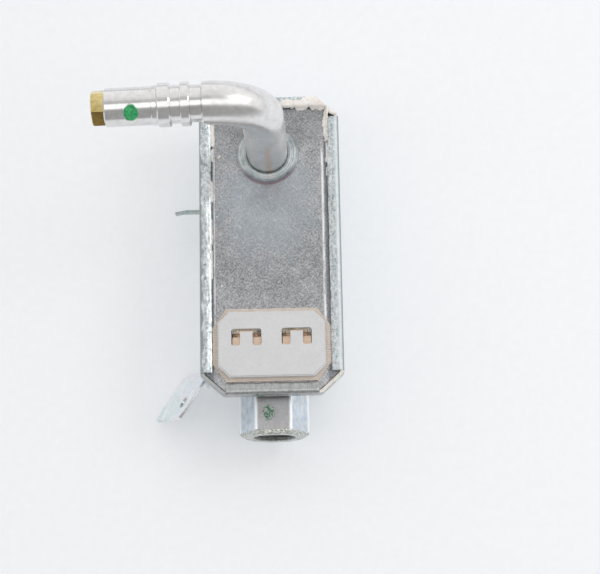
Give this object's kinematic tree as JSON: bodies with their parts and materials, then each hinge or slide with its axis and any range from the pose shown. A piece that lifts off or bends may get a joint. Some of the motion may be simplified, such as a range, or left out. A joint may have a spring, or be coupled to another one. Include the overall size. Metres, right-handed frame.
{
  "type": "gas valve",
  "caption": "Electric gas safety valve: crimped steel can with a hexagonal inlet, a bent outlet tube and a terminal block; a heated bimetal blade inside lifts a rubber disc off its seat.",
  "frame": {"origin": "centre of the can's flat back, on the back face", "axes": "+Z out of the cover, +Y from the inlet end towards the outlet end, outlet leg towards -X"},
  "size_m": [0.0708, 0.1066, 0.0839],
  "materials": {
    "zinc_steel": "zinc plated, bright, mottled where it was folded",
    "cover_steel": "zinc plated plate, dull grey, fine scratches",
    "sealant": "cured off-white sealant",
    "inlet_steel": "zinc plated hexagon bar, turned end",
    "tube_aluminium": "satin drawn tube",
    "seat_aluminium": "turned",
    "spud_brass": "plain hexagon bar",
    "creped_paper": "tan creped insulating paper",
    "white_ceramic": "matt moulded ceramic",
    "contact_copper": "tinned copper alloy strip",
    "phenolic": "laminate",
    "lead_sleeve": "glass braid over a copper core",
    "plain_steel": "mill finish",
    "bimetal": "rolled bimetal strip",
    "mica": "mica sheet",
    "heater_alloy": "resistance ribbon",
    "glass_cloth": "woven glass sleeve",
    "disc_rubber": "moulded nitrile",
    "gasket_rubber": "sheet gasket",
    "stainless": "spring temper"
  },
  "bodies": {
    "can": {"housing_pan": "zinc_steel", "cover_plate": "cover_steel", "sealant_bead": "sealant", "inlet_fitting": "inlet_steel", "outlet_collar": "seat_aluminium", "seat_gasket": "gasket_rubber", "valve_seat": "seat_aluminium", "outlet_tube": "tube_aluminium", "orifice_spud": "spud_brass", "insulating_paper": "creped_paper", "terminal_block": "white_ceramic", "terminal_left": "contact_copper", "terminal_right": "contact_copper", "inner_insulator": "phenolic", "lead_left": "lead_sleeve", "lead_right": "lead_sleeve", "mounting_bracket": "zinc_steel", "blade_post": "plain_steel", "spacer_block": "plain_steel", "compensating_blade": "bimetal", "lower_mica": "mica", "upper_mica": "mica", "clamp_plate": "plain_steel", "blade_rivets": "plain_steel", "calibration_bush": "plain_steel", "calibration_screw": "plain_steel", "screw_seal": "sealant"},
    "bimetal_arm": {"bimetal_blade": "bimetal", "heater_sleeve": "glass_cloth", "heater_ribbon": "heater_alloy", "disc_stud": "stainless", "spring_washer": "stainless"},
    "valve_disc": {"disc_holder": "seat_aluminium", "rubber_disc": "disc_rubber"}
  },
  "joints": [
    {"name": "arm_lift", "type": "hinge", "parent": "can", "child": "bimetal_arm", "pos_m": [0, -0.031, 0.0144], "axis": [1, 0, 0], "range_deg": [-2.2, 0], "stiffness_Nm_per_rad": 0.3, "springref_deg": 5.16},
    {"name": "disc_rock", "type": "hinge", "parent": "bimetal_arm", "child": "valve_disc", "pos_m": [-0.0005, 0.029, 0.0162], "axis": [1, 0, 0], "range_deg": [0, 2.2]}
  ],
  "couplings": [
    {"joint": "disc_rock", "follows": "arm_lift", "ratio": -1}
  ]
}
